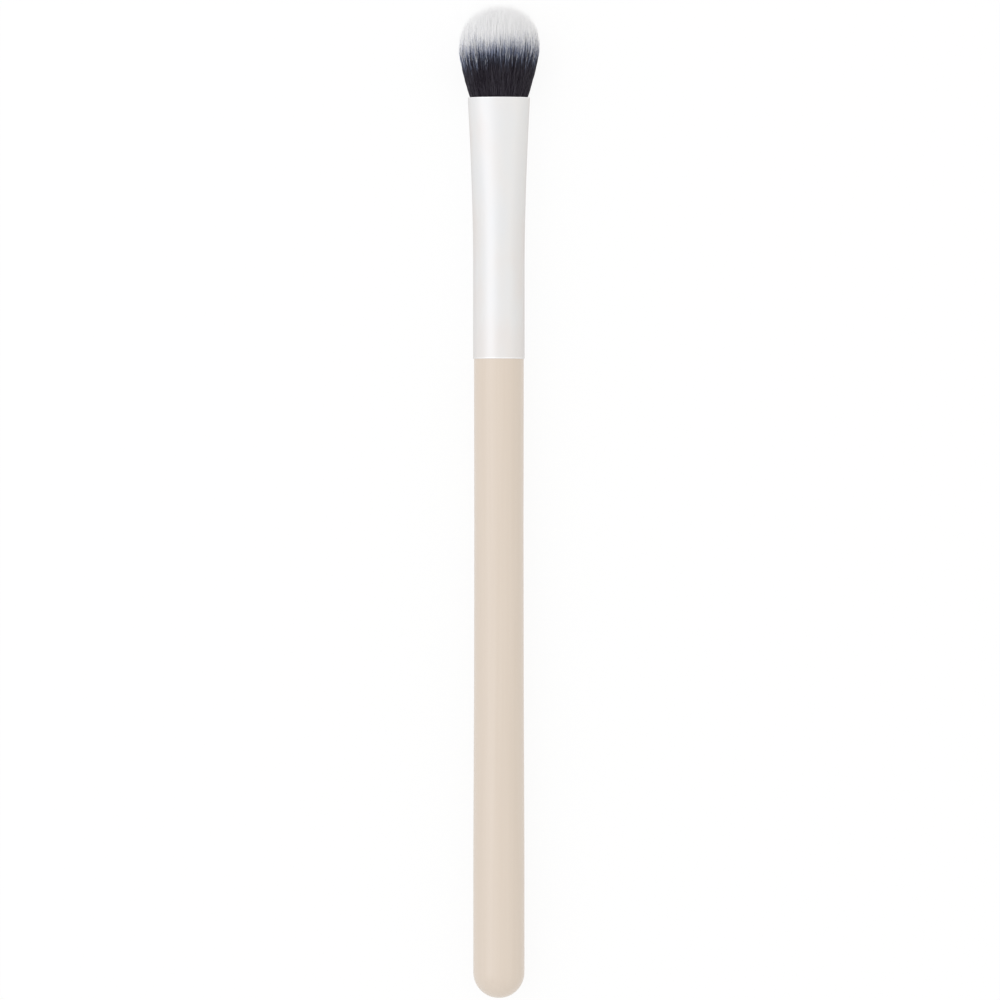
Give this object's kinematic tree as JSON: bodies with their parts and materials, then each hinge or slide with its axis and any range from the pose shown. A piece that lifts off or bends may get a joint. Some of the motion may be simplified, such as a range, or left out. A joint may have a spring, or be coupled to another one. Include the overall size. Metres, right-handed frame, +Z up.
{
  "type": "eyeshadow brush",
  "caption": "Slim makeup brush with a satin lacquered wooden handle, a ferrule pressed from round to oval, and a domed two-tone filament tuft.",
  "frame": {"origin": "middle of the brush's length on the table that it lies on, under its axis", "axes": "+Y along the axis towards the tuft, +X across the wide way of the oval mouth, +Z up from the table through the thin way"},
  "size_m": [0.0132, 0.16, 0.009],
  "materials": {
    "handle_lacquer": "satin beige lacquer over turned wood",
    "tenon_adhesive": "cured adhesive film",
    "ferrule_pearl": "pearly white satin lacquer over drawn aluminium",
    "tuft_resin": "cured epoxy",
    "filaments": "fine synthetic filaments, near black at the roots and white at the tips"
  },
  "bodies": {
    "root": {"handle": "handle_lacquer", "tenon_glue": "tenon_adhesive", "ferrule": "ferrule_pearl", "tuft_glue": "tuft_resin", "bristle_tuft": "filaments"}
  },
  "joints": []
}
